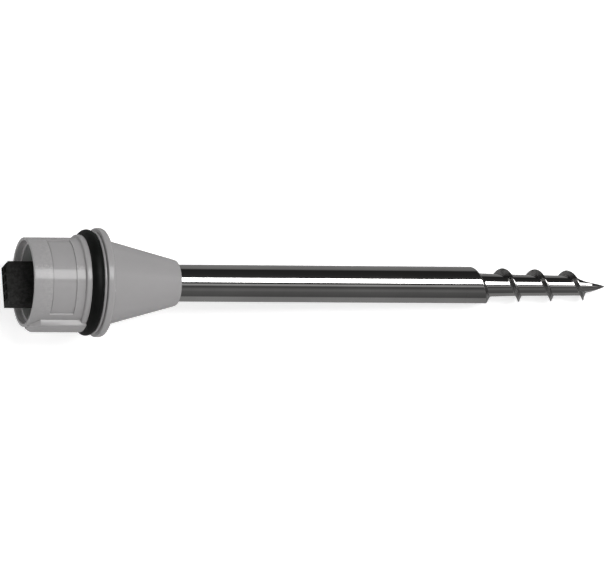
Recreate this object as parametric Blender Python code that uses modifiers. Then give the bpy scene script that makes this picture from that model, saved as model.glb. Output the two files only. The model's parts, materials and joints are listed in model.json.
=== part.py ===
"""Soil moisture sensor: a plastic plug-in head with a sealed cup, and a stainless probe with an auger tip.

The probe lies along +X, from the head's open cup to the auger's point. The origin is on the probe's axis, in
the plane of the flange's head-side shoulder. Stations in this file are millimetres along the axis from the
cup's rim.
"""

import math

import bmesh
import bpy
from mathutils import Matrix, Vector

MM = 0.001

# Driving dimensions, in millimetres.
SHOULDER_STATION = 23.8
SEGMENTS = 48
FIT_GAP = 0.1
SEAT_GAP = 0.2

CUP_R = 14.4
CUP_LIP_BORE_R = 13.4
CUP_BORE_R = 12.4
CUP_STEP_DEPTH = 2.2
COLLAR_START, COLLAR_END, COLLAR_R = 17.1, 19.0, 15.4
O_RING_SECTION, O_RING_OUTER_R = 4.0, 17.1
GUARD_START, GUARD_END, GUARD_R = 22.8, 23.6, 16.4
SPIGOT_R, SPIGOT_BORE_R, SPIGOT_END = 11.0, 9.2, 30.6
LEDGE_STATION, LEDGE_BORE_R = 10.9, 10.4
PANEL_START, PANEL_END, PANEL_DEPTH = 6.2, 14.1, 0.35
PANEL_CENTRE_ANGLE, PANEL_HALF_ANGLE = 86.0, 58.0

RIB_START, RIB_HALF_WIDTH, RIB_R = 0.9, 6.0, 16.1
RIB_SLOPE_END, RIB_BOW_END, RIB_BOW_HALF_WIDTH = 2.9, 3.8, 2.4

FLANGE_R, FLANGE_END = 17.5, 26.4
CONE_START_R, CONE_END, CONE_END_R = 13.95, 50.0, 7.55
CONE_TIP = 51.3

TUBE_R, TUBE_BORE_R = 6.0, 5.0
TUBE_START, TUBE_END = 31.4, 148.9
HEX_FLATS, HEX_START, HEX_END = 16.0, 31.0, 36.0
SEAL_SECTION, SEAL_STATIONS = 1.4, (40.9, 44.9)

FLIGHT_PITCH, FLIGHT_TOP_STATION = 11.3, 162.85
FLIGHT_FIRST_ANGLE, FLIGHT_LAST_ANGLE = -60.0, 990.0
FLIGHT_START_R, FLIGHT_END_R = 5.65, 4.9
FLIGHT_EDGE, FLIGHT_FLANK, SHOULDER_FLANK = 0.4, 0.42, 0.52
CORE_START_R, CORE_WAIST_STATION, CORE_WAIST_R, CORE_END_R = 4.05, 168.0, 3.5, 3.25
CORE_TAPER_END, NOSE_STATION, NOSE_R, POINT_STATION = 189.0, 192.0, 2.1, 199.0

PLUG_WIDTH, PLUG_THICK, PLUG_FRONT, PLUG_BACK = 14.2, 5.6, -6.1, 8.9
PLUG_DROP, PLUG_ROLL = -0.85, -7.5
PLUG_CHAMFER = 1.0
CONTACT_PITCH, CONTACT_COLUMNS, CONTACT_ROWS = 2.9, 2, 4
CONTACT_SHIFT = 0.35
CONTACT_HOLE, CONTACT_SIZE = 1.9, 1.6

LEAD_R, LEAD_Y, LEAD_Z = 0.5, 1.5, 1.15
BOARD_START, BOARD_END, BOARD_WIDTH, BOARD_THICK = 39.0, 139.0, 7.6, 1.0

# Colours as linear RGB, then roughness and metallic value.
FINISHES = {
    "grey_plastic": ((0.33, 0.32, 0.32), 0.45, 0.0),
    "black_plastic": ((0.012, 0.012, 0.012), 0.5, 0.0),
    "black_rubber": ((0.01, 0.01, 0.01), 0.65, 0.0),
    "stainless": ((0.6, 0.59, 0.58), 0.15, 1.0),
    "brass": ((0.65, 0.5, 0.22), 0.3, 1.0),
    "gold_plate": ((0.85, 0.65, 0.25), 0.25, 1.0),
    "circuit_board": ((0.02, 0.12, 0.05), 0.5, 0.0),
    "chip_epoxy": ((0.015, 0.015, 0.016), 0.6, 0.0),
    "ceramic": ((0.8, 0.78, 0.72), 0.5, 0.0),
    "potting": ((0.03, 0.03, 0.035), 0.4, 0.0),
    "red_lead": ((0.5, 0.02, 0.02), 0.45, 0.0),
    "black_lead": ((0.012, 0.012, 0.012), 0.45, 0.0),
    "white_lead": ((0.75, 0.75, 0.72), 0.45, 0.0),
    "green_lead": ((0.02, 0.25, 0.06), 0.45, 0.0),
}


def clear_scene():
    for old in list(bpy.data.objects):
        bpy.data.objects.remove(old, do_unlink=True)


def new_collection(name):
    collection = bpy.data.collections.new(name)
    bpy.context.scene.collection.children.link(collection)
    return collection


def finish(name):
    """The Principled material of one finish, made once."""
    material = bpy.data.materials.get(name)
    if material is None:
        colour, roughness, metallic = FINISHES[name]
        material = bpy.data.materials.new(name)
        material.use_nodes = True
        shader = material.node_tree.nodes["Principled BSDF"]
        shader.inputs["Base Color"].default_value = (*colour, 1.0)
        shader.inputs["Roughness"].default_value = roughness
        shader.inputs["Metallic"].default_value = metallic
    return material


def place(name, mesh, material, parent, rotation=(0.0, 0.0, 0.0)):
    """Puts a mesh under a parent, as a sub-part with a finish, or as a cutter where material is None."""
    obj = bpy.data.objects.new(name, mesh)
    obj.parent = parent
    obj.rotation_euler = rotation
    if material is None:
        cutters.objects.link(obj)
        obj.hide_render = True
        obj.display_type = "WIRE"
    else:
        parts.objects.link(obj)
        mesh.materials.append(finish(material))
    return obj


def arc(station, radius, r, start, end, steps):
    """Points on a circle of radius r in the outline's plane; angle 0 points along +station, 90 outwards."""
    angles = [math.radians(start + (end - start) * i / steps) for i in range(steps + 1)]
    return [(station + r * math.cos(a), radius + r * math.sin(a)) for a in angles]


def turned(name, outline, material, parent, ring=False, segments=SEGMENTS):
    """Turns an outline of (station, radius) points, head to tip along the outside, about the probe's axis."""
    points = [(radius * MM, 0.0, station * MM) for station, radius in reversed(outline)]
    count = len(points)
    edges = [(i, i + 1) for i in range(count - 1)]
    if ring:
        edges.append((count - 1, 0))
    mesh = bpy.data.meshes.new(name)
    mesh.from_pydata(points, edges, [])
    obj = place(name, mesh, material, parent, (0.0, math.radians(90.0), 0.0))
    turn = obj.modifiers.new("Turn", "SCREW")
    turn.axis = "Z"
    turn.angle = math.radians(360.0)
    turn.steps = segments
    turn.render_steps = segments
    turn.use_merge_vertices = True
    turn.merge_threshold = 0.00001
    turn.use_smooth_shade = True
    return obj


def box_mesh(name, size, centres):
    """Boxes of one size (along, across, up), in mm, at each of some centres."""
    bm = bmesh.new()
    for centre in centres:
        matrix = Matrix.Translation(Vector(centre) * MM) @ Matrix.Diagonal((*(Vector(size) * MM), 1.0))
        bmesh.ops.create_cube(bm, size=1.0, matrix=matrix)
    mesh = bpy.data.meshes.new(name)
    bm.to_mesh(mesh)
    bm.free()
    return mesh


def block(name, size, centre, material, parent, bevel=0.0):
    """A box whose size and centre are (along, across, up) in mm."""
    obj = place(name, box_mesh(name, size, [centre]), material, parent)
    if bevel:
        edges = obj.modifiers.new("Edges", "BEVEL")
        edges.width = bevel * MM
        edges.segments = 1
    return obj


def rod_mesh(name, radius, start, end, centres, segments):
    """Rods along the probe, in mm, at each (across, up) centre."""
    bm = bmesh.new()
    for across, up in centres:
        middle = Vector(((start + end) / 2, across, up)) * MM
        matrix = Matrix.Translation(middle) @ Matrix.Rotation(math.radians(90.0), 4, "Y")
        bmesh.ops.create_cone(
            bm,
            cap_ends=True,
            segments=segments,
            radius1=radius * MM,
            radius2=radius * MM,
            depth=(end - start) * MM,
            matrix=matrix,
        )
    mesh = bpy.data.meshes.new(name)
    bm.to_mesh(mesh)
    bm.free()
    return mesh


def combine(target, tool, operation):
    change = target.modifiers.new(tool.name, "BOOLEAN")
    change.operation = operation
    change.solver = "EXACT"
    change.object = tool


def loft(name, rings, material, parent):
    """A closed skin over rings of (station, across, up) points in mm, all with the same number of points."""
    bm = bmesh.new()
    skin = [[bm.verts.new(Vector(point) * MM) for point in ring] for ring in rings]
    count = len(skin[0])
    for first, second in zip(skin, skin[1:]):
        for i in range(count):
            j = (i + 1) % count
            bm.faces.new((first[i], first[j], second[j], second[i]))
    bm.faces.new(list(reversed(skin[0])))
    bm.faces.new(skin[-1])
    bmesh.ops.recalc_face_normals(bm, faces=bm.faces)
    mesh = bpy.data.meshes.new(name)
    bm.to_mesh(mesh)
    bm.free()
    return place(name, mesh, material, parent)


def around(station, radius, angle):
    """A point on the probe, with angle in degrees from across (+Y) towards up (+Z)."""
    turn = math.radians(angle)
    return (station, radius * math.cos(turn), radius * math.sin(turn))


def cup_shell(parent):
    """The cup with its collar, O-ring groove, guard ring, spigot, keying rib and recessed label panel."""
    root_r = O_RING_OUTER_R - O_RING_SECTION - FIT_GAP
    outline = [(0.0, 0.0)]
    outline += [(0.0, CUP_R - 0.15), (0.15, CUP_R), (COLLAR_START, CUP_R)]
    outline += arc(COLLAR_START + 0.5, COLLAR_R - 0.5, 0.5, 180.0, 90.0, 3)
    outline += arc(COLLAR_END - 0.3, COLLAR_R - 0.3, 0.3, 90.0, 0.0, 2)
    outline += [(COLLAR_END, root_r), (GUARD_START, root_r)]
    outline += [(GUARD_START, GUARD_R), (GUARD_END, GUARD_R)]
    outline += [(GUARD_END, SPIGOT_R), (SPIGOT_END, SPIGOT_R), (SPIGOT_END, 0.0)]
    shell = turned("cup_shell", outline, "grey_plastic", parent)
    combine(shell, keying_rib(parent), "UNION")

    before, after = -2.0, SPIGOT_END + 2.0
    cavity = [(before, 0.0), (before, CUP_LIP_BORE_R), (CUP_STEP_DEPTH, CUP_LIP_BORE_R)]
    cavity += [(CUP_STEP_DEPTH, CUP_BORE_R), (LEDGE_STATION, CUP_BORE_R)]
    cavity += [(LEDGE_STATION, LEDGE_BORE_R), (COLLAR_END, LEDGE_BORE_R)]
    cavity += [(GUARD_START, SPIGOT_BORE_R), (after, SPIGOT_BORE_R), (after, 0.0)]
    combine(shell, turned("cup_cavity", cavity, None, parent), "DIFFERENCE")
    combine(shell, label_panel(parent), "DIFFERENCE")


def keying_rib(parent):
    """The keying rib: a strip of a larger radius, with a bow towards the cup's rim."""
    outline = [(RIB_START, 0.0), (RIB_START, CUP_R + 0.4), (RIB_SLOPE_END, RIB_R)]
    outline += [(COLLAR_END, RIB_R), (COLLAR_END, 0.0)]
    rib = turned("keying_rib", outline, None, parent)

    plan = [(0.0, RIB_BOW_HALF_WIDTH), (RIB_BOW_END, RIB_HALF_WIDTH), (COLLAR_END + 1.0, RIB_HALF_WIDTH)]
    plan += [(station, -up) for station, up in reversed(plan)]
    curve = bpy.data.curves.new("keying_rib_plan", "CURVE")
    curve.dimensions = "2D"
    curve.fill_mode = "BOTH"
    curve.extrude = 4.0 * MM
    spline = curve.splines.new("POLY")
    spline.points.add(len(plan) - 1)
    for point, (station, up) in zip(spline.points, plan):
        point.co = (station * MM, up * MM, 0.0, 1.0)
    spline.use_cyclic_u = True
    strip = meshed(place("keying_rib_outline", curve, None, parent), "keying_rib_plan", parent)
    strip.rotation_euler = (math.radians(90.0), 0.0, 0.0)
    strip.location = (0.0, -(CUP_BORE_R + 3.1) * MM, 0.0)
    combine(rib, strip, "INTERSECT")
    return rib


def meshed(source, name, parent):
    """A cutter mesh made from a curve object, with its caps welded; the curve is removed."""
    bpy.context.view_layer.update()
    depsgraph = bpy.context.evaluated_depsgraph_get()
    mesh = bpy.data.meshes.new_from_object(source.evaluated_get(depsgraph))
    bm = bmesh.new()
    bm.from_mesh(mesh)
    bmesh.ops.remove_doubles(bm, verts=bm.verts, dist=0.000001)
    bmesh.ops.recalc_face_normals(bm, faces=bm.faces)
    bm.to_mesh(mesh)
    bm.free()
    bpy.data.objects.remove(source, do_unlink=True)
    return place(name, mesh, None, parent)


def label_panel(parent):
    """A shallow curved recess on the cup's upper side, as a cutter."""
    steps, inner, outer = 12, CUP_R - PANEL_DEPTH, CUP_R + 1.0
    rings = []
    for i in range(steps + 1):
        angle = PANEL_CENTRE_ANGLE + PANEL_HALF_ANGLE * (2.0 * i / steps - 1.0)
        rings.append(
            [
                around(PANEL_START, inner, angle),
                around(PANEL_END, inner, angle),
                around(PANEL_END, outer, angle),
                around(PANEL_START, outer, angle),
            ]
        )
    return loft("label_panel", rings, None, parent)


def cone_shell(parent):
    """The flange and cone that carry the tube, with a hex pocket and two seal grooves inside."""
    start = SHOULDER_STATION
    outline = [(start, 0.0)]
    outline += arc(start + 0.5, FLANGE_R - 0.5, 0.5, 180.0, 90.0, 2)
    outline += arc(FLANGE_END - 1.4, FLANGE_R - 1.4, 1.4, 90.0, 0.0, 4)
    outline += [(FLANGE_END, CONE_START_R + 0.3), (FLANGE_END + 0.4, CONE_START_R - 0.1)]
    outline += arc(CONE_END - 0.05, CONE_END_R - 1.3, 1.35, 75.0, 0.0, 4)
    outline += [(CONE_TIP - 0.6, TUBE_R + 0.0), (CONE_TIP - 0.6, 0.0)]
    shell = turned("cone_shell", outline, "grey_plastic", parent)

    socket_r = SPIGOT_R + SEAT_GAP
    socket_end = SPIGOT_END + 0.3
    bore_r = TUBE_R + FIT_GAP
    before, after = start - 2.0, CONE_TIP + 2.0
    cavity = [(before, 0.0), (before, socket_r), (socket_end, socket_r), (socket_end, bore_r)]
    for station in SEAL_STATIONS:
        half, root_r = SEAL_SECTION / 2 + 0.15, TUBE_R + SEAL_SECTION + 2 * FIT_GAP
        cavity += [(station - half, bore_r), (station - half, root_r)]
        cavity += [(station + half, root_r), (station + half, bore_r)]
    cavity += [(after, bore_r), (after, 0.0)]
    combine(shell, turned("cone_cavity", cavity, None, parent), "DIFFERENCE")

    pocket_r = (HEX_FLATS / 2 + SEAT_GAP) / math.cos(math.radians(30.0))
    pocket = rod_mesh("hex_pocket", pocket_r, SPIGOT_END - 1.0, HEX_END + SEAT_GAP, [(0.0, 0.0)], 6)
    combine(shell, place("hex_pocket", pocket, None, parent), "DIFFERENCE")


def seal_ring(name, station, section, inner_r, parent, segments, around_section):
    outline = arc(station, inner_r + section / 2, section / 2, 180.0, -180.0, around_section)[:-1]
    turned(name, outline, "black_rubber", parent, ring=True, segments=segments)


def connector(parent):
    """The female connector: a housing with two columns of holes, and a contact in each."""
    across = [CONTACT_SHIFT + (row - (CONTACT_ROWS - 1) / 2) * CONTACT_PITCH for row in range(CONTACT_ROWS)]
    up = [(column - (CONTACT_COLUMNS - 1) / 2) * CONTACT_PITCH for column in range(CONTACT_COLUMNS)]
    places = [(y, z) for z in up for y in across]

    middle, length = (PLUG_FRONT + PLUG_BACK) / 2, PLUG_BACK - PLUG_FRONT
    size, centre = (length, PLUG_WIDTH, PLUG_THICK), (middle, 0.0, 0.0)
    housing = block("connector_housing", size, centre, "black_plastic", parent)
    size = (length + 2.0, CONTACT_HOLE, CONTACT_HOLE)
    holes = box_mesh("contact_holes", size, [(middle, y, z) for y, z in places])
    combine(housing, place("contact_holes", holes, None, parent), "DIFFERENCE")
    half, far = PLUG_WIDTH / 2, PLUG_THICK
    corner = [(PLUG_FRONT, half - PLUG_CHAMFER), (PLUG_FRONT + PLUG_CHAMFER, half)]
    corner += [(PLUG_FRONT - 1.0, half + 1.0)]
    rings = [[(station, y, z) for station, y in corner] for z in (-far, far)]
    combine(housing, loft("polarising_chamfer", rings, None, parent), "DIFFERENCE")

    for number, (y, z) in enumerate(places, start=1):
        start, end = PLUG_FRONT + 0.9, PLUG_BACK
        size, centre = (end - start, CONTACT_SIZE, CONTACT_SIZE), ((start + end) / 2, y, z)
        contact = block(f"contact_{number}", size, centre, "gold_plate", parent)
        socket = box_mesh("socket", (7.0, 1.0, 1.0), [(start + 2.5, y, z)])
        combine(contact, place(f"contact_{number}_socket", socket, None, parent), "DIFFERENCE")


def head_electronics(parent):
    """The round board behind the connector, its snap ring, the four leads and the grommet that seals them."""
    board_r, board_start = CUP_BORE_R - SEAT_GAP, PLUG_BACK + SEAT_GAP
    board = [(board_start, 0.0), (board_start, board_r), (LEDGE_STATION - SEAT_GAP, board_r)]
    board += [(LEDGE_STATION - SEAT_GAP, 0.0)]
    turned("connector_board", board, "circuit_board", parent, segments=32)

    ring_start, ring_end = PLUG_BACK - 1.3, board_start - SEAT_GAP
    ring = [(ring_start, board_r), (ring_end, board_r)]
    ring += [(ring_end, board_r - 1.0), (ring_start, board_r - 1.0)]
    turned("board_snap_ring", ring, "grey_plastic", parent, ring=True, segments=SEGMENTS)

    plug_r = SPIGOT_BORE_R - FIT_GAP
    plug = [(25.0, 0.0), (25.0, plug_r), (29.5, plug_r), (29.5, 0.0)]
    grommet = turned("lead_grommet", plug, "black_rubber", parent, segments=32)
    places = [(y, z) for y in (-LEAD_Y, LEAD_Y) for z in (-LEAD_Z, LEAD_Z)]
    rods = rod_mesh("lead_holes", LEAD_R + FIT_GAP, 24.0, 31.0, places, 12)
    holes = place("lead_holes", rods, None, parent)
    combine(grommet, holes, "DIFFERENCE")
    for (y, z), colour in zip(places, ("red", "black", "white", "green")):
        lead(f"lead_{colour}", y, z, f"{colour}_lead", parent)


def lead(name, across, up, material, parent):
    """One insulated lead, straight through the grommet, with a slack bow in the cup and in the cone."""
    spread = 1.6
    route = [(10.9, 0.0), (13.0, 0.0), (15.5, 0.7), (18.0, 1.0)]
    route += [(20.5, 0.7), (23.0, 0.0), (30.5, 0.0), (46.0, 0.0)]
    curve = bpy.data.curves.new(name, "CURVE")
    curve.dimensions = "3D"
    curve.fill_mode = "FULL"
    curve.bevel_depth = LEAD_R * MM
    curve.bevel_resolution = 2
    curve.use_fill_caps = True
    spline = curve.splines.new("POLY")
    spline.points.add(len(route) - 1)
    for point, (station, bow) in zip(spline.points, route):
        out = 1.0 + spread * bow / math.hypot(across, up)
        point.co = (station * MM, across * out * MM, up * out * MM, 1.0)
    place(name, curve, material, parent)


def probe(parent):
    """The stainless tube, its hex drive collar and the seals between the tube and the cone."""
    tube = [(TUBE_START, TUBE_R), (TUBE_END, TUBE_R), (TUBE_END, TUBE_BORE_R), (TUBE_START, TUBE_BORE_R)]
    turned("probe_tube", tube, "stainless", parent, ring=True)

    hex_r = HEX_FLATS / 2 / math.cos(math.radians(30.0))
    collar = rod_mesh("hex_drive_collar", hex_r, HEX_START, HEX_END, [(0.0, 0.0)], 6)
    collar = place("hex_drive_collar", collar, "brass", parent)
    bore = rod_mesh("hex_bore", TUBE_R + FIT_GAP, HEX_START - 1.0, HEX_END + 1.0, [(0.0, 0.0)], SEGMENTS)
    combine(collar, place("hex_bore", bore, None, parent), "DIFFERENCE")
    for name, station in zip(("upper_tube_seal", "lower_tube_seal"), SEAL_STATIONS):
        seal_ring(name, station, SEAL_SECTION, TUBE_R + FIT_GAP, parent, SEGMENTS, 8)


def probe_electronics(parent):
    """The long board in the tube with its chips, heater and thermistors, potted at the tip end."""
    length, middle = BOARD_END - BOARD_START, (BOARD_START + BOARD_END) / 2
    block("sensor_board", (length, BOARD_WIDTH, BOARD_THICK), (middle, 0.0, 0.0), "circuit_board", parent)

    def component(name, station, size, material, side):
        up = side * (BOARD_THICK / 2 + FIT_GAP + size[2] / 2)
        block(name, size, (station, 0.0, up), material, parent, bevel=0.08)

    component("microcontroller", 62.0, (5.0, 5.0, 0.9), "chip_epoxy", 1)
    component("measuring_chip", 75.0, (4.0, 4.0, 0.9), "chip_epoxy", 1)
    component("soil_thermistor", 98.0, (1.6, 0.9, 0.8), "ceramic", 1)
    component("heater_thermistor", 131.0, (1.6, 0.9, 0.8), "ceramic", 1)
    component("heater_element", 131.0, (10.0, 5.0, 1.0), "ceramic", -1)

    potting_r = TUBE_BORE_R - FIT_GAP
    potting = [(120.0, 0.0), (120.0, potting_r), (140.5, potting_r), (140.5, 0.0)]
    potting = turned("heat_potting", potting, "potting", parent, segments=32)
    slot = box_mesh("board_slot", (21.0, BOARD_WIDTH + 0.4, 3.6), [(BOARD_END + 0.3 - 10.5, 0.0, 0.0)])
    combine(potting, place("board_slot", slot, None, parent), "DIFFERENCE")


def flight_station(angle):
    """Where the flight's middle is, for an angle that counts on through the turns."""
    return FLIGHT_TOP_STATION + FLIGHT_PITCH * angle / 360.0


def auger_tip(parent):
    """The solid tip: a spigot in the tube, a sleeve cut off along the helix, a core and a flight."""
    start = TUBE_END + FIT_GAP
    core = [(start - 7.0, 0.0), (start - 7.0, TUBE_BORE_R - FIT_GAP), (start, TUBE_BORE_R - FIT_GAP)]
    core += [(start + 0.2, CORE_START_R), (CORE_WAIST_STATION, CORE_WAIST_R), (CORE_TAPER_END, CORE_END_R)]
    nose, steps = POINT_STATION - NOSE_STATION, 5
    core += [(NOSE_STATION + nose * i / steps, NOSE_R * (1.0 - (i / steps) ** 1.35)) for i in range(steps)]
    core.append((POINT_STATION, 0.0))
    tip = turned("auger_tip", core, "stainless", parent, segments=32)
    combine(tip, helical_sleeve(start, parent), "UNION")
    combine(tip, flight(parent), "UNION")


def helical_sleeve(start, parent):
    """The last of the full diameter, which ends in a sloping step one pitch long at the groove's start."""
    steps, inner_r = 36, CORE_WAIST_R - 0.6
    slope = SHOULDER_FLANK * (TUBE_R - inner_r)
    rings = []
    for i in range(steps + 1):
        angle = FLIGHT_FIRST_ANGLE + 359.9 * i / steps
        end = flight_station(angle - 360.0) + FLIGHT_EDGE / 2
        rings.append(
            [
                around(start, TUBE_R, angle),
                around(end, TUBE_R - 0.1 * (i / steps), angle),
                around(end + slope, inner_r, angle),
                around(start, inner_r, angle),
            ]
        )
    return loft("helical_sleeve", rings, None, parent)


def flight(parent):
    """The auger's flight: a V-shaped blade wound round the core, sunk into the point at its end."""
    step, low = 15.0, 1.2
    count = int((FLIGHT_LAST_ANGLE - FLIGHT_FIRST_ANGLE) / step)
    rings = []
    for i in range(count + 1):
        share = i / count
        angle = FLIGHT_FIRST_ANGLE + step * i
        station = flight_station(angle)
        rim = FLIGHT_START_R + (FLIGHT_END_R - FLIGHT_START_R) * share
        run_out = max(0.0, (angle - FLIGHT_LAST_ANGLE + 90.0) / 90.0)
        rim -= (rim - 1.3) * run_out**1.5
        edge, root = FLIGHT_EDGE / 2, FLIGHT_EDGE / 2 + FLIGHT_FLANK * (rim - low)
        rings.append(
            [
                around(station - root, low, angle),
                around(station + root, low, angle),
                around(station + edge, rim, angle),
                around(station - edge, rim, angle),
            ]
        )
    return loft("flight", rings, None, parent)


clear_scene()
parts = new_collection("soil_moisture_sensor")
cutters = new_collection("cutters")

probe_frame = bpy.data.objects.new("probe_frame", None)
probe_frame.location = (-SHOULDER_STATION * MM, 0.0, 0.0)
parts.objects.link(probe_frame)
plug_frame = bpy.data.objects.new("plug_frame", None)
plug_frame.parent = probe_frame
plug_frame.location = (0.0, PLUG_DROP * MM, 0.0)
plug_frame.rotation_euler = (math.radians(PLUG_ROLL), 0.0, 0.0)
parts.objects.link(plug_frame)

cup_shell(probe_frame)
cone_shell(probe_frame)
seal_ring(
    "main_o_ring",
    (COLLAR_END + GUARD_START) / 2,
    O_RING_SECTION - 2 * FIT_GAP,
    O_RING_OUTER_R - O_RING_SECTION + FIT_GAP,
    probe_frame,
    SEGMENTS,
    16,
)
connector(plug_frame)
head_electronics(probe_frame)
probe(probe_frame)
probe_electronics(probe_frame)
auger_tip(probe_frame)
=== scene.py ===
"""Soil moisture sensor: detailed surfaces, materials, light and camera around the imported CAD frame."""

import json
import math

import bmesh
import bpy
from mathutils import Matrix, Vector


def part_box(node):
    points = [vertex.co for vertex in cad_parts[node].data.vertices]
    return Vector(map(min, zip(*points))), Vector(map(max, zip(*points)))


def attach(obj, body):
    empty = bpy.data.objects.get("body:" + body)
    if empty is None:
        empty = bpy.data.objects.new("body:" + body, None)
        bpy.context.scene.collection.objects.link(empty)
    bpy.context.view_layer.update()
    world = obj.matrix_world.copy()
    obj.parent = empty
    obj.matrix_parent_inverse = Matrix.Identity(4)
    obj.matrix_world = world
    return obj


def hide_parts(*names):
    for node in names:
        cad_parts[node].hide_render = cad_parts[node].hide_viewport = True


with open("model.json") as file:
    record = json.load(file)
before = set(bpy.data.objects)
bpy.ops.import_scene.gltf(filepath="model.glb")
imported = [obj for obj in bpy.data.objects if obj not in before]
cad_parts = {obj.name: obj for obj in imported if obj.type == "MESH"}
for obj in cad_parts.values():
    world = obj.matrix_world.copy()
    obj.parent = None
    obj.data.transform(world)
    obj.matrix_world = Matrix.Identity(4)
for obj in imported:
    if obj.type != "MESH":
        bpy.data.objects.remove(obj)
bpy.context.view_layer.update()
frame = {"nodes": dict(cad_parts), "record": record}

MM = 0.001
RIM_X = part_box("cup_shell")[0][0]

# Stations are millimetres along the probe from the cup's rim, and radii are millimetres.
CUP_R, LIP_BORE_R, BORE_R, STEP_DEPTH = 14.4, 13.4, 12.4, 2.2
COLLAR_START, COLLAR_END, COLLAR_R = 17.1, 19.0, 15.4
O_RING_SECTION, O_RING_OUTER_R = 4.0, 17.2
GUARD_START, GUARD_END, GUARD_R = 22.8, 23.6, 16.5
SPIGOT_R, SPIGOT_BORE_R, SPIGOT_END = 11.0, 9.2, 30.6
LEDGE_STATION, LEDGE_BORE_R = 10.9, 10.4
PANEL_START, PANEL_END, PANEL_DEPTH, PANEL_GROOVE = 6.2, 14.1, 0.4, 0.12
PANEL_GROOVE_WIDTH, PANEL_END_REACH = 0.3, 1.3
PANEL_FIRST_ANGLE, PANEL_LAST_ANGLE, PANEL_END_LEAN = 28.0, 144.0, 10.0
RIB_START, RIB_HALF_WIDTH, RIB_R = 0.9, 6.0, 16.1
RIB_SLOPE_END, RIB_BOW_END, RIB_BOW_HALF_WIDTH = 2.9, 3.8, 2.4

SHOULDER, FLANGE_R, FLANGE_END = 23.8, 17.6, 26.4
CONE_START_R, CONE_END, CONE_END_R, CONE_TIP = 13.95, 50.0, 7.55, 51.3
CONE_BORE_START, CONE_BORE_R, CONE_NOSE_R = 36.2, 9.2, 1.5
TUBE_R, TUBE_BORE_R, TUBE_START, TUBE_END = 6.0, 5.0, 31.4, 148.99

FLIGHT_PITCH, FLIGHT_TOP_STATION = 11.3, 162.85
FLIGHT_FIRST_TURN, FLIGHT_LAST_TURN, GROOVE_RAMP = -1.0 / 6.0, 2.75, 0.09
FLIGHT_START_R, FLIGHT_END_R = 5.65, 4.9
FLIGHT_EDGE, FLIGHT_CROWN, FLIGHT_FLANK = 0.36, 0.04, 0.42
SHOULDER_FLANK, SHOULDER_SOFT, ROOT_FILLET = 0.52, 0.35, 0.5
CORE_START_R, CORE_WAIST_STATION, CORE_WAIST_R, CORE_END_R = 4.05, 168.0, 3.5, 3.25
CORE_TAPER_END, NOSE_STATION, POINT_STATION = 190.0, 192.0, 199.0
NOSE_TOP, NOSE_TOP_SLOPE, NOSE_TOP_HOLLOW, NOSE_TOP_RUN_OUT = 0.87, -0.21, 0.0145, 0.08
NOSE_EDGE, NOSE_UNDERSIDE, POINT_DROP = 0.4, 2.1, 0.3

PLUG_WIDTH, PLUG_THICK, PLUG_FRONT, PLUG_BACK = 14.2, 5.6, -6.1, 8.9
PLUG_DROP, PLUG_ROLL, PLUG_CHAMFER = -0.85, -7.5, 0.85
CONTACT_PITCH, CONTACT_SHIFT, CONTACT_HOLE = 2.9, 0.35, 1.9

# Steps round a turned piece.
FINE = 192


# ---------------------------------------------------------------- mesh helpers


def to_frame(station, across, up):
    return Vector((RIM_X + station * MM, across * MM, up * MM))


def around(station, radius, angle):
    """A point of the probe; the angle is in degrees from +Y towards +Z."""
    turn = math.radians(angle)
    return (station, radius * math.cos(turn), radius * math.sin(turn))


def arc(station, radius, r, start, end, steps=8):
    """Points on a circle in the outline's plane; angle 0 points along the probe, 90 outwards."""
    angles = [math.radians(start + (end - start) * i / steps) for i in range(steps + 1)]
    return [(station + r * math.cos(a), radius + r * math.sin(a)) for a in angles]


def skin(name, rings, ring_closed=True, loop_closed=False, cap=False):
    """An object over a grid of points: rings of equal length, joined in order."""
    bm = bmesh.new()
    grid = [[bm.verts.new(to_frame(*point)) for point in ring] for ring in rings]
    rows, count = len(grid), len(grid[0])
    for i in range(rows if loop_closed else rows - 1):
        first, second = grid[i], grid[(i + 1) % rows]
        for j in range(count if ring_closed else count - 1):
            k = (j + 1) % count
            bm.faces.new((first[j], first[k], second[k], second[j]))
    if cap:
        bm.faces.new(grid[0])
        bm.faces.new(grid[-1])
    bmesh.ops.remove_doubles(bm, verts=bm.verts, dist=0.0000005)
    bmesh.ops.dissolve_degenerate(bm, edges=bm.edges, dist=0.0000001)
    bmesh.ops.recalc_face_normals(bm, faces=bm.faces)
    mesh = bpy.data.meshes.new(name)
    bm.to_mesh(mesh)
    bm.free()
    obj = bpy.data.objects.new(name, mesh)
    bpy.context.scene.collection.objects.link(obj)
    return obj


def lathe(name, outline, ring=False, segments=FINE):
    """Turns (station, radius) points about the probe's axis."""
    rings = [[around(s, max(r, 0.0), 360.0 * j / segments) for j in range(segments)] for s, r in outline]
    return skin(name, rings, loop_closed=ring)


def prism(name, outline, low, high):
    """An outline of (station, across) points, from one height to another."""
    return skin(name, [[(s, y, z) for s, y in outline] for z in (low, high)], cap=True)


def bevel(obj, width, segments, angle):
    """Rounds the edges that are sharper than an angle in degrees."""
    edges = obj.modifiers.new("Edges", "BEVEL")
    edges.width = width * MM
    edges.segments = segments
    edges.limit_method = "ANGLE"
    edges.angle_limit = math.radians(angle)
    return obj


def settle(obj):
    """Applies an object's modifiers to its mesh."""
    bpy.context.view_layer.update()
    depsgraph = bpy.context.evaluated_depsgraph_get()
    mesh = bpy.data.meshes.new_from_object(obj.evaluated_get(depsgraph))
    obj.modifiers.clear()
    obj.data = mesh
    return obj


def combine(obj, tool, operation="DIFFERENCE"):
    """Cuts, joins or trims an object with a tool, which is then removed."""
    change = obj.modifiers.new("Combine", "BOOLEAN")
    change.operation = operation
    change.solver = "EXACT"
    change.object = tool
    settle(obj)
    bpy.data.objects.remove(tool, do_unlink=True)
    return obj


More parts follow.
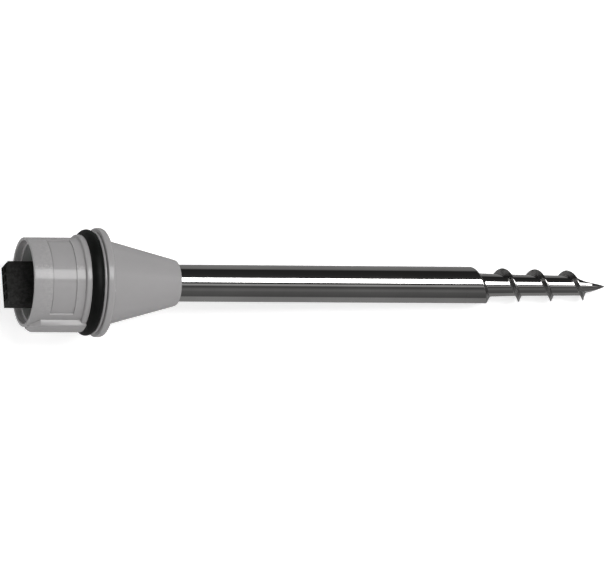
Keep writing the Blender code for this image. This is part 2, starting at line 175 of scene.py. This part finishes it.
def smooth(obj, angle=32.0):
    obj.data.shade_smooth()
    obj.data.set_sharp_from_angle(angle=math.radians(angle))
    return obj


def finish_piece(obj, nodes, material):
    """Gives a piece its material, and puts it in the place of its CAD nodes."""
    obj.data.materials.clear()
    obj.data.materials.append(material)
    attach(obj, "root")
    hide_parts(*nodes)
    return obj


# ---------------------------------------------------------------- materials


def node_tree(name):
    material = bpy.data.materials.new(name)
    material.use_nodes = True
    tree = material.node_tree
    return material, tree, tree.nodes["Principled BSDF"]


def coordinates(tree, scale):
    place = tree.nodes.new("ShaderNodeTexCoord")
    mapping = tree.nodes.new("ShaderNodeMapping")
    mapping.inputs["Scale"].default_value = scale
    tree.links.new(place.outputs["Object"], mapping.inputs["Vector"])
    return mapping.outputs["Vector"]


def noise(tree, scale, detail=4.0, roughness=0.55, stretch=(1.0, 1.0, 1.0)):
    texture = tree.nodes.new("ShaderNodeTexNoise")
    texture.inputs["Scale"].default_value = scale
    texture.inputs["Detail"].default_value = detail
    texture.inputs["Roughness"].default_value = roughness
    tree.links.new(coordinates(tree, stretch), texture.inputs["Vector"])
    return texture.outputs["Fac"]


def remap(tree, value, low, high, from_low=0.3, from_high=0.7):
    node = tree.nodes.new("ShaderNodeMapRange")
    node.inputs["From Min"].default_value = from_low
    node.inputs["From Max"].default_value = from_high
    node.inputs["To Min"].default_value = low
    node.inputs["To Max"].default_value = high
    tree.links.new(value, node.inputs["Value"])
    return node.outputs["Result"]


def mix_colour(tree, factor, first, second):
    node = tree.nodes.new("ShaderNodeMix")
    node.data_type = "RGBA"
    tree.links.new(factor, node.inputs[0])
    for socket, colour in ((node.inputs[6], first), (node.inputs[7], second)):
        if hasattr(colour, "links"):
            tree.links.new(colour, socket)
        else:
            socket.default_value = (*colour, 1.0)
    return node.outputs[2]


def add_bump(tree, shader, layers):
    """Chains bump layers of (height, depth in metres, strength)."""
    normal = None
    for height, distance, strength in layers:
        bump = tree.nodes.new("ShaderNodeBump")
        bump.inputs["Strength"].default_value = strength
        bump.inputs["Distance"].default_value = distance
        tree.links.new(height, bump.inputs["Height"])
        if normal is not None:
            tree.links.new(normal, bump.inputs["Normal"])
        normal = bump.outputs["Normal"]
    tree.links.new(normal, shader.inputs["Normal"])


def worn_edges(tree, low=0.52, high=0.62):
    """A mask that is 1 on convex edges, from the mesh's pointiness."""
    geometry = tree.nodes.new("ShaderNodeNewGeometry")
    return remap(tree, geometry.outputs["Pointiness"], 0.0, 1.0, low, high)


def moulded(name, colour, rough, vary=0.06, grain=0.35, wear=0.12, spec=0.5):
    """Moulded plastic or rubber: mottled colour, uneven gloss, fine spark-eroded grain and paler edges."""
    material, tree, shader = node_tree(name)
    dark = tuple(c * (1.0 - vary) for c in colour)
    light = tuple(min(1.0, c * (1.0 + vary)) for c in colour)
    cloud = noise(tree, 300.0, 5.0)
    base = mix_colour(tree, remap(tree, cloud, 0.0, 1.0), dark, light)
    speck = remap(tree, noise(tree, 5200.0, 2.0), 0.0, 0.35, 0.55, 0.75)
    base = mix_colour(tree, speck, base, tuple(c * 0.9 for c in colour))
    pale = tuple(min(1.0, c * (1.0 + wear * 3.0) + wear * 0.06) for c in colour)
    scuff = remap(tree, noise(tree, 900.0, 6.0, 0.7), 0.0, 1.0, 0.42, 0.62)
    edge = tree.nodes.new("ShaderNodeMath")
    edge.operation = "MULTIPLY"
    tree.links.new(worn_edges(tree), edge.inputs[0])
    tree.links.new(scuff, edge.inputs[1])
    base = mix_colour(tree, edge.outputs[0], base, pale)
    tree.links.new(base, shader.inputs["Base Color"])
    gloss = noise(tree, 700.0, 6.0, 0.65)
    tree.links.new(remap(tree, gloss, rough * 0.88, rough * 1.15), shader.inputs["Roughness"])
    shader.inputs["Specular IOR Level"].default_value = spec
    add_bump(tree, shader, [(noise(tree, 7000.0, 3.0), 0.000008, grain)])
    return material


def polished_steel(name, machined_with_painted_shade=False):
    """Turned and polished stainless: fine rings round the axis, faint smears and a few handling marks.

    With the flag set, the faces that look along the axis keep a duller, streaky tool finish, and their
    colour is darkened as painted shade for the dark room they reflect.
    """
    material, tree, shader = node_tree(name)
    shader.inputs["Metallic"].default_value = 1.0
    smear = noise(tree, 70.0, 5.0, 0.6, (0.5, 1.0, 1.0))
    base = mix_colour(tree, remap(tree, smear, 0.0, 1.0), (0.53, 0.52, 0.515), (0.66, 0.652, 0.642))
    rings = noise(tree, 1.0, 3.0, 0.6, (9000.0, 90.0, 90.0))
    base = mix_colour(tree, remap(tree, rings, 0.0, 0.2, 0.5, 0.8), base, (0.46, 0.45, 0.445))
    grime = noise(tree, 320.0, 6.0, 0.7, (0.6, 1.0, 1.0))
    rough = remap(tree, grime, 0.045, 0.11, 0.35, 0.75)
    bumps = [(rings, 0.0000008, 0.2), (noise(tree, 240.0, 2.0), 0.000002, 0.2)]
    if machined_with_painted_shade:
        place = tree.nodes.new("ShaderNodeTexCoord")
        parts = tree.nodes.new("ShaderNodeSeparateXYZ")
        tree.links.new(place.outputs["Normal"], parts.inputs[0])
        facing = tree.nodes.new("ShaderNodeMath")
        facing.operation = "ABSOLUTE"
        tree.links.new(parts.outputs["X"], facing.inputs[0])
        # Painted shade: faces looking along the axis get a darker colour, standing in for the dark room they
        # reflect; their streaks and extra roughness are the tool finish.
        flank = remap(tree, facing.outputs[0], 0.0, 1.0, 0.35, 0.7)
        streaks = noise(tree, 900.0, 6.0, 0.7, (1.0, 0.35, 0.8))
        painted_shade_tool_streaks = mix_colour(tree, remap(tree, streaks, 0.0, 1.0), (0.15, 0.147, 0.145), (0.48, 0.475, 0.47))
        base = mix_colour(tree, flank, base, painted_shade_tool_streaks)
        dull = tree.nodes.new("ShaderNodeMath")
        dull.operation = "MULTIPLY_ADD"
        dull.inputs[1].default_value = 0.18
        tree.links.new(flank, dull.inputs[0])
        tree.links.new(rough, dull.inputs[2])
        rough = dull.outputs[0]
        bumps.append((streaks, 0.00001, 0.3))
    tree.links.new(base, shader.inputs["Base Color"])
    tree.links.new(rough, shader.inputs["Roughness"])
    add_bump(tree, shader, bumps)
    return material


def plated(name, colour, rough):
    material, tree, shader = node_tree(name)
    shader.inputs["Metallic"].default_value = 1.0
    dull = tuple(c * 0.72 for c in colour)
    base = mix_colour(tree, remap(tree, noise(tree, 900.0, 5.0), 0.0, 1.0), dull, colour)
    tree.links.new(base, shader.inputs["Base Color"])
    gloss = remap(tree, noise(tree, 1500.0, 4.0), rough * 0.7, rough * 1.4)
    tree.links.new(gloss, shader.inputs["Roughness"])
    add_bump(tree, shader, [(noise(tree, 3000.0, 3.0, 0.6, (1.0, 0.2, 1.0)), 0.000004, 0.4)])
    return material


def board_mask(name):
    """Solder mask over glass cloth: a faint weave under a glossy green film, with darker copper pours."""
    material, tree, shader = node_tree(name)
    weave = tree.nodes.new("ShaderNodeTexWave")
    weave.inputs["Scale"].default_value = 700.0
    weave.inputs["Distortion"].default_value = 0.6
    tree.links.new(coordinates(tree, (1.0, 1.0, 0.2)), weave.inputs["Vector"])
    pours = remap(tree, noise(tree, 260.0, 0.0), 0.0, 1.0, 0.5, 0.53)
    base = mix_colour(tree, pours, (0.012, 0.10, 0.04), (0.02, 0.17, 0.06))
    base = mix_colour(tree, remap(tree, weave.outputs["Fac"], 0.0, 0.25), base, (0.03, 0.2, 0.09))
    tree.links.new(base, shader.inputs["Base Color"])
    tree.links.new(remap(tree, noise(tree, 600.0), 0.28, 0.45), shader.inputs["Roughness"])
    add_bump(tree, shader, [(weave.outputs["Fac"], 0.000006, 0.4), (pours, 0.00003, 0.5)])
    return material


grey_plastic = moulded("grey_plastic", (0.325, 0.318, 0.32), 0.15, vary=0.012, grain=0.05, wear=0.12)
black_plastic = moulded(
    "black_plastic", (0.0112, 0.0108, 0.0104), 0.6, vary=0.25, grain=0.3, wear=0.6, spec=0.14
)
black_rubber = moulded(
    "black_rubber", (0.005, 0.0054, 0.005), 0.5, vary=0.3, grain=0.4, wear=0.4, spec=0.15
)
steel = polished_steel("polished_stainless")
auger_steel = polished_steel("auger_stainless", machined_with_painted_shade=True)
NODE_MATERIALS = {
    "gold_plate": plated("gold_plate", (0.85, 0.62, 0.24), 0.25),
    "brass": plated("brass", (0.62, 0.46, 0.2), 0.3),
    "stainless": steel,
    "grey_plastic": grey_plastic,
    "black_plastic": black_plastic,
    "black_rubber": black_rubber,
    "circuit_board": board_mask("circuit_board"),
    "chip_epoxy": moulded("chip_epoxy", (0.015, 0.015, 0.016), 0.55, vary=0.2, grain=0.6),
    "ceramic": moulded("ceramic", (0.78, 0.76, 0.7), 0.5, vary=0.06, grain=0.5),
    "potting": moulded("potting", (0.03, 0.03, 0.035), 0.3, vary=0.25, grain=0.15),
    "red_lead": moulded("red_lead", (0.5, 0.02, 0.02), 0.4, vary=0.12, grain=0.15),
    "black_lead": moulded("black_lead", (0.012, 0.012, 0.012), 0.4, vary=0.2, grain=0.15),
    "white_lead": moulded("white_lead", (0.72, 0.71, 0.68), 0.4, vary=0.06, grain=0.15),
    "green_lead": moulded("green_lead", (0.02, 0.25, 0.06), 0.4, vary=0.12, grain=0.15),
}


def dress_nodes():
    """Gives every CAD node that stays the detailed material of its slot."""
    for part in frame["record"]["subparts"]:
        node = frame["nodes"][part["node"]]
        material = NODE_MATERIALS[part["material_slot"]]
        if not node.material_slots:
            node.data.materials.append(material)
        for slot in node.material_slots:
            slot.material = material


# ---------------------------------------------------------------- the head


def cup():
    """The cup: rim, stepped bore, recessed panel, collar, O-ring groove, guard ring, spigot and rib."""
    root_r = O_RING_OUTER_R - O_RING_SECTION - 0.1
    outline = [(0.0, 0.0)]
    outline += arc(0.3, CUP_R - 0.3, 0.3, 180.0, 90.0)
    outline += [(COLLAR_START - 0.25, CUP_R)]
    outline += arc(COLLAR_START - 0.25, CUP_R + 0.25, 0.25, 270.0, 360.0, 5)
    outline += arc(COLLAR_START + 0.5, COLLAR_R - 0.5, 0.5, 180.0, 90.0)
    outline += arc(COLLAR_END - 0.3, COLLAR_R - 0.3, 0.3, 90.0, 0.0)
    outline += arc(COLLAR_END + 0.3, root_r + 0.3, 0.3, 180.0, 270.0, 5)
    outline += arc(GUARD_START - 0.3, root_r + 0.3, 0.3, 270.0, 360.0, 5)
    outline += arc(GUARD_START + 0.25, GUARD_R - 0.25, 0.25, 180.0, 90.0, 5)
    outline += arc(GUARD_END - 0.15, GUARD_R - 0.15, 0.15, 90.0, 0.0, 4)
    outline += [(GUARD_END, SPIGOT_R), (SPIGOT_END - 0.5, SPIGOT_R)]
    outline += [(SPIGOT_END, SPIGOT_R - 0.5), (SPIGOT_END, 0.0)]
    body = lathe("cup_body", outline)
    combine(body, rib(), "UNION")

    before, after = -2.0, SPIGOT_END + 2.0
    mouth = CUP_R - 0.3
    cavity = [(before, 0.0), (before, mouth), (0.0, mouth)]
    cavity += arc(0.3, LIP_BORE_R + 0.3, 0.3, 180.0, 270.0, 5)[1:]
    cavity += [(STEP_DEPTH, LIP_BORE_R)]
    cavity += [(STEP_DEPTH, BORE_R + 0.15), (STEP_DEPTH + 0.15, BORE_R), (LEDGE_STATION, BORE_R)]
    cavity += [(LEDGE_STATION, LEDGE_BORE_R), (COLLAR_END, LEDGE_BORE_R)]
    cavity += [(GUARD_START, SPIGOT_BORE_R), (after, SPIGOT_BORE_R), (after, 0.0)]
    combine(body, lathe("cavity", cavity))
    combine(body, panel())
    finish_piece(smooth(body), ["cup_shell"], grey_plastic)


def rib():
    """The keying rib: a strip of a larger radius whose end towards the rim narrows and slopes like a bow."""
    outline = [(RIB_START, 0.0), (RIB_START, CUP_R + 0.2)]
    outline += arc(RIB_START + 0.3, CUP_R + 0.35, 0.3, 180.0, 135.0, 3)
    outline += [(RIB_SLOPE_END - 0.3, RIB_R - 0.12), (RIB_SLOPE_END, RIB_R - 0.03)]
    outline += [(RIB_SLOPE_END + 0.4, RIB_R)]
    outline += arc(COLLAR_END - 0.2, RIB_R - 0.2, 0.2, 90.0, 0.0, 4)
    outline += [(COLLAR_END, 0.0)]
    strip = lathe("rib", outline)
    plan = [(0.0, RIB_BOW_HALF_WIDTH), (RIB_BOW_END, RIB_HALF_WIDTH)]
    plan += [(COLLAR_END + 1.0, RIB_HALF_WIDTH)]
    plan += [(station, -up) for station, up in reversed(plan)]
    depths = (-(BORE_R - 1.0), -(RIB_R + 2.0))
    block = skin("rib_plan", [[(s, y, z) for s, z in plan] for y in depths], cap=True)
    combine(strip, block, "INTERSECT")
    return settle(bevel(strip, 0.2, 3, 40.0))


def panel():
    """The cutter of a shallow curved recess in the cup's side, with a groove along the recess's edge at
    the rim's side and a sloping lower end.
    """
    steps, inner, outer = 48, CUP_R - PANEL_DEPTH, CUP_R + 1.0
    groove_r, groove_end = inner - PANEL_GROOVE, PANEL_START + PANEL_GROOVE_WIDTH
    rings = []
    for i in range(steps + 1):
        angle = PANEL_FIRST_ANGLE + (PANEL_LAST_ANGLE - PANEL_FIRST_ANGLE) * i / steps
        corners = [(PANEL_START, groove_r), (groove_end, groove_r), (groove_end + 0.02, inner)]
        corners += [(PANEL_END, inner), (PANEL_END + 0.2, outer), (PANEL_START, outer)]
        rings.append([around(station, radius, angle) for station, radius in corners])
    lean, last = math.radians(PANEL_END_LEAN), rings[-1]
    down, forward = PANEL_END_REACH * math.cos(lean), PANEL_END_REACH * math.sin(lean)
    for outside, inside in ((4, 3), (5, 0)):
        y, z = last[inside][1:]
        last[outside] = (last[outside][0], y - down, z + forward)
    return skin("panel", rings, cap=True)


def cone():
    """The flange and cone, with a rounded nose round the tube."""
    slope = math.degrees(math.atan2(CONE_START_R - CONE_END_R, CONE_END - FLANGE_END))
    bore_r, joint_r = TUBE_R + 0.1, SPIGOT_R + 0.2
    outline = [(SPIGOT_END, joint_r), (SHOULDER, joint_r)]
    outline += arc(SHOULDER + 0.25, FLANGE_R - 0.25, 0.25, 180.0, 90.0, 5)
    outline += arc(FLANGE_END - 1.3, FLANGE_R - 1.3, 1.3, 90.0, 0.0, 12)
    outline += [(FLANGE_END, CONE_START_R + 0.35)]
    outline += arc(FLANGE_END + 0.35, CONE_START_R + 0.3, 0.35, 180.0, 270.0 - slope, 6)
    nose = (CONE_END - 0.1, CONE_END_R - CONE_NOSE_R + 0.05)
    outline += arc(*nose, CONE_NOSE_R, 90.0 - slope, -10.0, 14)
    outline += [(CONE_TIP - 0.75, bore_r + 0.15), (CONE_TIP - 1.0, bore_r)]
    outline += [(CONE_BORE_START, bore_r), (CONE_BORE_START, CONE_BORE_R)]
    outline += [(SPIGOT_END + 0.3, CONE_BORE_R), (SPIGOT_END + 0.3, joint_r)]
    body = lathe("cone_body", outline, ring=True)
    finish_piece(smooth(body), ["cone_shell"], grey_plastic)


def seal():
    """The main O-ring, with the faint mould flash that runs round its outside."""
    r, flash_height, flash_spread = O_RING_SECTION / 2 - 0.05, 0.05, 8.0
    middle, centre_r = (COLLAR_END + GUARD_START) / 2, O_RING_OUTER_R - O_RING_SECTION / 2
    steps, outline = 48, []
    for i in range(steps):
        angle = 360.0 * i / steps
        flash = flash_height * math.exp(-(((angle - 180.0) % 360.0 - 90.0) ** 2) / flash_spread)
        outline += arc(middle, centre_r, r + flash, angle, angle, 1)[:1]
    body = lathe("seal_body", list(reversed(outline)), ring=True)
    finish_piece(smooth(body, 60.0), ["main_o_ring"], black_rubber)


def connector():
    """The connector housing: one chamfered corner, and square holes with a lead-in."""
    half, thick = PLUG_WIDTH / 2, PLUG_THICK / 2
    outline = [
        (PLUG_FRONT, -half),
        (PLUG_BACK, -half),
        (PLUG_BACK, half),
        (PLUG_FRONT + PLUG_CHAMFER, half),
        (PLUG_FRONT, half - PLUG_CHAMFER),
    ]
    body = settle(bevel(prism("connector_body", outline, -thick, thick), 0.18, 3, 30.0))
    inner = CONTACT_HOLE / 2
    sections = ((PLUG_FRONT - 0.2, inner + 0.38), (PLUG_FRONT + 0.35, inner), (PLUG_BACK + 0.5, inner))
    corners = ((-1, -1), (1, -1), (1, 1), (-1, 1))
    for row in range(4):
        for column in range(2):
            y, z = CONTACT_SHIFT + (row - 1.5) * CONTACT_PITCH, (column - 0.5) * CONTACT_PITCH
            hole = [[(s, y + i * h, z + j * h) for i, j in corners] for s, h in sections]
            combine(body, skin("hole", hole, cap=True))
    roll = Matrix.Rotation(math.radians(PLUG_ROLL), 4, "X")
    body.data.transform(Matrix.Translation((0.0, PLUG_DROP * MM, 0.0)) @ roll)
    finish_piece(smooth(body, 25.0), ["connector_housing"], black_plastic)


# ---------------------------------------------------------------- the probe


def tube():
    """The tube, whose upper end inside the cone is chamfered."""
    chamfer, steps = 0.1, 60
    outline = [(TUBE_START, TUBE_BORE_R), (TUBE_START, TUBE_R - chamfer)]
    first = TUBE_START + chamfer
    outline += [(first + (TUBE_END - first) * i / steps, TUBE_R) for i in range(steps + 1)]
    outline += [(TUBE_END, TUBE_BORE_R)]
    body = lathe("tube_body", outline, ring=True)
    finish_piece(smooth(body), ["probe_tube"], steel)


def rise(x):
    """A smooth step from 0 to 1."""
    x = min(1.0, max(0.0, x))
    return x * x * (3.0 - 2.0 * x)


def fuller(first, second, blend):
    """The larger of two radii, with a fillet where they are close."""
    overlap = max(0.0, 1.0 - abs(first - second) / blend)
    return max(first, second) + overlap * overlap * blend / 4.0


def share_between(station, first, last):
    """How far a station is from the first to the last, from 0 to 1."""
    return min(1.0, max(0.0, (station - first) / (last - first)))


def core_radius(station):
    """The auger's core: two slow tapers, then a rounded run to the point."""
    radius = CORE_START_R
    radius += (CORE_WAIST_R - CORE_START_R) * share_between(station, TUBE_END, CORE_WAIST_STATION)
    radius += (CORE_END_R - CORE_WAIST_R) * share_between(station, CORE_WAIST_STATION, CORE_TAPER_END)
    return radius * (1.0 - share_between(station, CORE_TAPER_END, POINT_STATION) ** 2.8)


def blade(distance, rim, flank):
    """The radius at a distance from a flight's middle: a crowned rim, then a straight flank."""
    past = abs(distance) - FLIGHT_EDGE / 2
    if past <= 0.0:
        return rim - FLIGHT_CROWN * (1.0 + 2.0 * past / FLIGHT_EDGE) ** 4
    return rim - FLIGHT_CROWN - past / flank


def shoulder(distance):
    """The radius past the end of the full diameter: a rounded edge, then a straight slope."""
    past = distance - FLIGHT_EDGE / 2
    if past <= -SHOULDER_SOFT:
        return TUBE_R
    if past < SHOULDER_SOFT:
        return TUBE_R - (past + SHOULDER_SOFT) ** 2 / (4.0 * SHOULDER_SOFT) / SHOULDER_FLANK
    return TUBE_R - past / SHOULDER_FLANK


def turns_behind(station, turn):
    """How many turns the helix makes up to a station, and the last of them that passed this turn."""
    along = (station - FLIGHT_TOP_STATION) / FLIGHT_PITCH
    return along, math.floor(along - turn + 1e-9) + turn


def auger_radius(station, turn):
    """The tip's surface at a station, for a turn between 0 and 1 from the top."""
    core = core_radius(station)
    along, behind = turns_behind(station, turn)
    groove_start = FLIGHT_FIRST_TURN - 1.0
    if behind < groove_start - GROOVE_RAMP:
        return TUBE_R
    radius = core
    for flight_turn in (behind, behind + 1.0):
        distance = (along - flight_turn) * FLIGHT_PITCH
        if flight_turn < FLIGHT_FIRST_TURN:
            if flight_turn == behind:
                radius = fuller(radius, shoulder(distance), ROOT_FILLET)
            continue
        share = (flight_turn - FLIGHT_FIRST_TURN) / (FLIGHT_LAST_TURN - FLIGHT_FIRST_TURN)
        rim = FLIGHT_START_R + (FLIGHT_END_R - FLIGHT_START_R) * min(1.0, share)
        # The flight's last quarter turn sinks below the core's surface.
        fade, sunk = rise((FLIGHT_LAST_TURN + 0.1 - flight_turn) / 0.35), core - 0.5
        rim = sunk + (rim - sunk) * fade
        # Towards the point the flight's front face stands up straighter.
        steep = rise((flight_turn - 1.8) / 0.6) if distance > 0.0 else 0.0
        flank = FLIGHT_FLANK * (1.0 - 0.65 * steep)
        radius = fuller(radius, blade(distance, rim, flank), ROOT_FILLET)
    ramp = 1.0 - rise((behind - groove_start + GROOVE_RAMP) / GROOVE_RAMP)
    return radius + (TUBE_R - radius) * ramp


def auger_point(station, turn):
    """A point of the tip's surface, whose nose is ground down above and, past the last flight, below."""
    station, y, z = around(station, auger_radius(station, turn), 360.0 * turn)
    past = station - NOSE_STATION
    top = NOSE_TOP + NOSE_TOP_SLOPE * past + NOSE_TOP_HOLLOW * past ** 2
    top += NOSE_TOP_RUN_OUT * min(0.0, past) ** 2
    # The lower of the two, with a rounded edge where they meet.
    y = -NOSE_EDGE * math.log(math.exp(-y / NOSE_EDGE) + math.exp(-top / NOSE_EDGE))
    along, behind = turns_behind(station, turn)
    ahead = (along - behind) * FLIGHT_PITCH if behind > 1.99 else 0.0
    ground = max(rise((ahead - 0.25) / 0.35), rise((past - 0.5) / 1.5))
    underside = share_between(station, NOSE_STATION - 1.0, POINT_STATION) ** 1.9
    low = -NOSE_UNDERSIDE + (NOSE_UNDERSIDE - POINT_DROP) * underside
    return (station, max(y, low * ground - TUBE_R * (1.0 - ground)), z)


def auger():
    """The tip as one skin whose rows follow the helix, so that the flight's rim and flanks lie on them."""
    start, columns, open_steps = TUBE_END + 0.01, 144, 14
    near = [0.0, 0.09, 0.18, 0.28, 0.42, 0.58, 0.74, 0.86, 0.98, 1.1, 1.22, 1.36, 1.5, 1.7]
    gap = (FLIGHT_PITCH - 2.0 * near[-1]) / open_steps
    across_pitch = near + [near[-1] + gap * i for i in range(1, open_steps)]
    across_pitch += [FLIGHT_PITCH - d for d in reversed(near[1:])]
    first = math.floor((start - FLIGHT_TOP_STATION) / FLIGHT_PITCH) - 1
    last = math.ceil((POINT_STATION - FLIGHT_TOP_STATION) / FLIGHT_PITCH) + 1
    rows = [FLIGHT_TOP_STATION + FLIGHT_PITCH * k + d for k in range(first, last) for d in across_pitch]
    per_pitch = len(across_pitch)

    bm = bmesh.new()
    grid = []
    for row in rows:
        stations = [row + FLIGHT_PITCH * j / columns for j in range(columns)]
        stations = [min(POINT_STATION, max(start, station)) for station in stations]
        grid.append([bm.verts.new(to_frame(*auger_point(s, j / columns))) for j, s in enumerate(stations)])
    for i in range(len(rows) - 1):
        for j in range(columns - 1):
            bm.faces.new((grid[i][j], grid[i][j + 1], grid[i + 1][j + 1], grid[i + 1][j]))
        # The last column meets the first one a whole pitch further on.
        if i + 1 + per_pitch < len(rows):
            seam = (grid[i][-1], grid[i + per_pitch][0], grid[i + 1 + per_pitch][0], grid[i + 1][-1])
            bm.faces.new(seam)
    bmesh.ops.remove_doubles(bm, verts=bm.verts, dist=0.000002)
    loose = [v for v in bm.verts if not v.link_faces]
    bmesh.ops.delete(bm, geom=loose, context="VERTS")
    bmesh.ops.holes_fill(bm, edges=[e for e in bm.edges if e.is_boundary], sides=0)
    bmesh.ops.recalc_face_normals(bm, faces=bm.faces)
    mesh = bpy.data.meshes.new("auger_body")
    bm.to_mesh(mesh)
    bm.free()
    body = bpy.data.objects.new("auger_body", mesh)
    bpy.context.scene.collection.objects.link(body)
    finish_piece(smooth(body, 42.0), ["auger_tip"], auger_steel)


# ---------------------------------------------------------------- floor, light and camera


def floor():
    """A pale table, tipped a little so that the flange and the last flight both rest on it."""
    touch_x, touch_z = RIM_X + 25.0 * MM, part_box("cone_shell")[0][2] - 0.00005
    tip_x, tip_z = RIM_X + 188.5 * MM, -5.0 * MM
    slope = (tip_z - touch_z) / (tip_x - touch_x)
    half = 4.0
    mesh = bpy.data.meshes.new("floor")
    corners = ((-half, -half), (half, -half), (half, half), (-half, half))
    points = [(x, y, touch_z + slope * (x - touch_x)) for x, y in corners]
    mesh.from_pydata(points, [], [(0, 1, 2, 3)])
    table = bpy.data.objects.new("floor", mesh)
    bpy.context.scene.collection.objects.link(table)
    material, tree, shader = node_tree("floor")
    shade = remap(tree, noise(tree, 6.0, 3.0), 0.0, 1.0)
    base = mix_colour(tree, shade, (0.83, 0.83, 0.83), (0.85, 0.85, 0.85))
    tree.links.new(base, shader.inputs["Base Color"])
    # A lit table, so that shadows on it stay faint.
    shader.inputs["Emission Color"].default_value = (1.0, 1.0, 1.0, 1.0)
    shader.inputs["Emission Strength"].default_value = 0.52
    shader.inputs["Roughness"].default_value = 0.9
    shader.inputs["Specular IOR Level"].default_value = 0.1
    mesh.materials.append(material)
    table.visible_glossy = False


def area_light(name, centre, direction, size_x, size_y, radiance, in_reflections=True):
    """A rectangular light that stands off from a centre by a vector and faces it."""
    data = bpy.data.lights.new(name, "AREA")
    data.shape = "RECTANGLE"
    data.size, data.size_y = size_x, size_y
    data.energy = radiance * math.pi * size_x * size_y
    lamp = bpy.data.objects.new(name, data)
    lamp.location = Vector(centre) + Vector(direction)
    z = Vector(direction).normalized()
    x = (Vector((1.0, 0.0, 0.0)) - z * z.x).normalized()
    y = z.cross(x)
    lamp.matrix_world = Matrix.Translation(lamp.location) @ Matrix((x, y, z)).transposed().to_4x4()
    lamp.visible_glossy = in_reflections
    bpy.context.scene.collection.objects.link(lamp)


def studio():
    """A dim room in bands round the probe's axis, an overhead strip box and hidden fills."""
    world = bpy.data.worlds.new("studio")
    bpy.context.scene.world = world
    world.use_nodes = True
    tree = world.node_tree
    place = tree.nodes.new("ShaderNodeTexCoord")
    parts = tree.nodes.new("ShaderNodeSeparateXYZ")
    tree.links.new(place.outputs["Generated"], parts.inputs[0])
    angle = tree.nodes.new("ShaderNodeMath")
    angle.operation = "ARCTAN2"
    tree.links.new(parts.outputs["Y"], angle.inputs[0])
    tree.links.new(parts.outputs["Z"], angle.inputs[1])
    share = tree.nodes.new("ShaderNodeMapRange")
    share.inputs["From Min"].default_value = -math.pi
    share.inputs["From Max"].default_value = math.pi
    tree.links.new(angle.outputs[0], share.inputs["Value"])
    ramp = tree.nodes.new("ShaderNodeValToRGB")
    tree.links.new(share.outputs["Result"], ramp.inputs["Fac"])
    # Degrees from straight up towards +Y, and the room's brightness there.
    bands = [
        (-180, 0.26), (-104, 0.27), (-96, 0.09), (-62, 0.12), (-50, 0.17), (-42, 0.15), (-32, 0.08),
        (-25, 0.08), (-20, 0.34), (-14, 0.46), (-10, 0.08), (-2, 0.04), (30, 0.05), (44, 0.03),
        (86, 0.022), (97, 0.22), (180, 0.3),
    ]
    while len(ramp.color_ramp.elements) < len(bands):
        ramp.color_ramp.elements.new(0.5)
    for element, (degrees, value) in zip(ramp.color_ramp.elements, bands):
        element.position = (degrees + 180.0) / 360.0
        element.color = (value, value, value, 1.0)
    tree.links.new(ramp.outputs["Color"], tree.nodes["Background"].inputs["Color"])

    middle = (0.05, 0.0, 0.0)
    lean = math.radians(12.6)
    strip = 0.9
    area_light("strip_box", middle, (0.3, strip * math.sin(lean), strip * math.cos(lean)), 0.95, 0.41, 5.0)
    area_light("top_fill", middle, (0.1, 0.35, 1.3), 1.6, 1.6, 0.62, in_reflections=False)
    area_light("near_fill", middle, (-0.1, -0.55, 1.15), 1.4, 1.0, 0.95, in_reflections=False)
    area_light("front_fill", middle, (-0.1, -1.2, 0.6), 1.4, 1.0, 0.38, in_reflections=False)
    area_light("back_fill", middle, (0.0, 1.2, 0.7), 1.4, 1.0, 0.12, in_reflections=False)
    area_light("mouth_fill", middle, (-1.3, 0.0, 0.45), 1.0, 1.0, 1.0, in_reflections=False)


def camera():
    """Looks down on the probe, turned a little to the head's end and to the rib's side."""
    azimuth, elevation, roll = math.radians(17.9), math.radians(-8.37), math.radians(-2.31)
    distance, focal_px, image_width = 2.0, 6145.0, 608.0
    target = Vector((RIM_X + 94.65 * MM, -0.02 * MM, 0.0))
    sa, ca, se, ce = math.sin(azimuth), math.cos(azimuth), math.sin(elevation), math.cos(elevation)
    forward = Vector((sa * ce, -se, -ca * ce))
    right = Vector((ca, 0.0, sa))
    up = right.cross(forward)
    side = right * math.cos(roll) + up * math.sin(roll)
    top = up * math.cos(roll) - right * math.sin(roll)
    data = bpy.data.cameras.new("camera")
    data.sensor_width = 36.0
    data.lens = focal_px * data.sensor_width / image_width
    data.clip_start, data.clip_end = 0.1, 20.0
    obj = bpy.data.objects.new("camera", data)
    obj.matrix_world = Matrix.Translation(target - forward * distance) @ Matrix(
        (side, top, -forward)
    ).transposed().to_4x4()
    bpy.context.scene.collection.objects.link(obj)
    bpy.context.scene.camera = obj


camera()
cup()
cone()
seal()
connector()
tube()
auger()
dress_nodes()
floor()
studio()
bpy.context.scene.view_settings.view_transform = "Standard"
